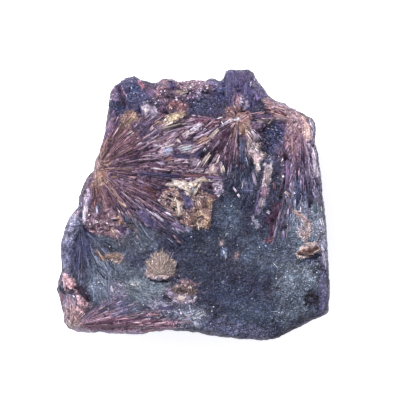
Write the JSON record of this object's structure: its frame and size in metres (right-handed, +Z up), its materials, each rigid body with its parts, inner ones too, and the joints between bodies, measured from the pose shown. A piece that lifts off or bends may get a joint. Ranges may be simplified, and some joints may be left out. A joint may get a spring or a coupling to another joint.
{
  "type": "lamprophyllite specimen",
  "caption": "Broken hand piece of dark alkaline rock lying on its back, its flat display face crossed by radiating sprays of bladed crystals with tan lumps between them.",
  "frame": {"origin": "centre of the bounding box's underside, on the surface the specimen rests on", "axes": "+Z up out of the display face, +X to the right and +Y to the top of the face as it is shown"},
  "size_m": [0.082, 0.0814, 0.0326],
  "materials": {
    "rock": "rough broken rock with satin bladed crystals"
  },
  "bodies": {
    "root": {"specimen": "rock"}
  },
  "joints": []
}
